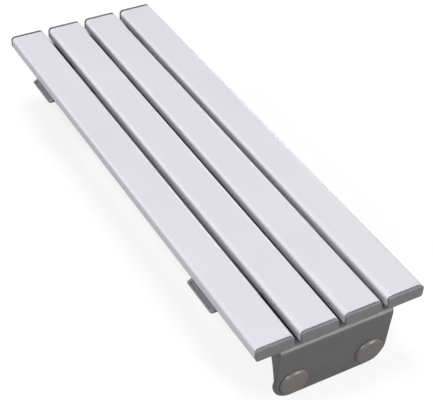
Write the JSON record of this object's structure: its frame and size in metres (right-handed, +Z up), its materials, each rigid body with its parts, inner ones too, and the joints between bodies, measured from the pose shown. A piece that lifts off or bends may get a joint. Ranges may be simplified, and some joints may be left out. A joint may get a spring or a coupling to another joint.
{
  "type": "bath board",
  "caption": "Slatted bath board with hollow slats, grey end caps and crossbars, and under each end a sliding clamp-on bracket with round rubber buffers.",
  "frame": {"origin": "on the floor, under the middle of the board as it stands on its two brackets", "axes": "+Z up, +Y along the slats towards the far end, +X across the slats"},
  "size_m": [0.2286, 0.685, 0.1094],
  "materials": {
    "slat_plastic": "satin off-white, faintly lilac",
    "cap_plastic": "satin mid grey",
    "bracket_plastic": "satin dark grey",
    "buffer_rubber": "matt warm grey",
    "knob_plastic": "satin charcoal",
    "zinc_steel": "bright zinc plated",
    "brass": "machined"
  },
  "bodies": {
    "board": {"slat_1": "slat_plastic", "slat_2": "slat_plastic", "slat_3": "slat_plastic", "slat_4": "slat_plastic", "end_cap_near_1": "cap_plastic", "end_cap_near_2": "cap_plastic", "end_cap_near_3": "cap_plastic", "end_cap_near_4": "cap_plastic", "end_cap_far_1": "cap_plastic", "end_cap_far_2": "cap_plastic", "end_cap_far_3": "cap_plastic", "end_cap_far_4": "cap_plastic", "crossbar_near": "cap_plastic", "crossbar_far": "cap_plastic", "slat_screw_near_1_outer": "zinc_steel", "slat_screw_near_1_inner": "zinc_steel", "slat_screw_near_2_outer": "zinc_steel", "slat_screw_near_2_inner": "zinc_steel", "slat_screw_near_3_outer": "zinc_steel", "slat_screw_near_3_inner": "zinc_steel", "slat_screw_near_4_outer": "zinc_steel", "slat_screw_near_4_inner": "zinc_steel", "slat_screw_far_1_outer": "zinc_steel", "slat_screw_far_1_inner": "zinc_steel", "slat_screw_far_2_outer": "zinc_steel", "slat_screw_far_2_inner": "zinc_steel", "slat_screw_far_3_outer": "zinc_steel", "slat_screw_far_3_inner": "zinc_steel", "slat_screw_far_4_outer": "zinc_steel", "slat_screw_far_4_inner": "zinc_steel", "clamp_bolt_near_left": "zinc_steel", "clamp_bolt_near_right": "zinc_steel", "clamp_bolt_far_left": "zinc_steel", "clamp_bolt_far_right": "zinc_steel", "clamp_washer_near_left": "zinc_steel", "clamp_washer_near_right": "zinc_steel", "clamp_washer_far_left": "zinc_steel", "clamp_washer_far_right": "zinc_steel"},
    "near_bracket": {"bracket_near": "bracket_plastic", "buffer_near_left": "buffer_rubber", "buffer_near_right": "buffer_rubber"},
    "far_bracket": {"bracket_far": "bracket_plastic", "buffer_far_left": "buffer_rubber", "buffer_far_right": "buffer_rubber"},
    "knob_near_left": {"clamp_knob_near_left": "knob_plastic", "knob_insert_near_left": "brass"},
    "knob_near_right": {"clamp_knob_near_right": "knob_plastic", "knob_insert_near_right": "brass"},
    "knob_far_left": {"clamp_knob_far_left": "knob_plastic", "knob_insert_far_left": "brass"},
    "knob_far_right": {"clamp_knob_far_right": "knob_plastic", "knob_insert_far_right": "brass"}
  },
  "joints": [
    {"name": "bracket_near_slide", "type": "slide", "parent": "board", "child": "near_bracket", "axis": [0, 1, 0], "range_m": [0, 0.08]},
    {"name": "bracket_far_slide", "type": "slide", "parent": "board", "child": "far_bracket", "axis": [0, -1, 0], "range_m": [0, 0.08]},
    {"name": "knob_near_left_turn", "type": "hinge", "parent": "board", "child": "knob_near_left", "pos_m": [-0.0286, -0.225, 0.07417], "axis": [0, 0, -1], "range_deg": [0, 360]},
    {"name": "knob_near_right_turn", "type": "hinge", "parent": "board", "child": "knob_near_right", "pos_m": [0.0286, -0.225, 0.07417], "axis": [0, 0, -1], "range_deg": [0, 360]},
    {"name": "knob_far_left_turn", "type": "hinge", "parent": "board", "child": "knob_far_left", "pos_m": [0.0286, 0.225, 0.07417], "axis": [0, 0, -1], "range_deg": [0, 360]},
    {"name": "knob_far_right_turn", "type": "hinge", "parent": "board", "child": "knob_far_right", "pos_m": [-0.0286, 0.225, 0.07417], "axis": [0, 0, -1], "range_deg": [0, 360]}
  ]
}
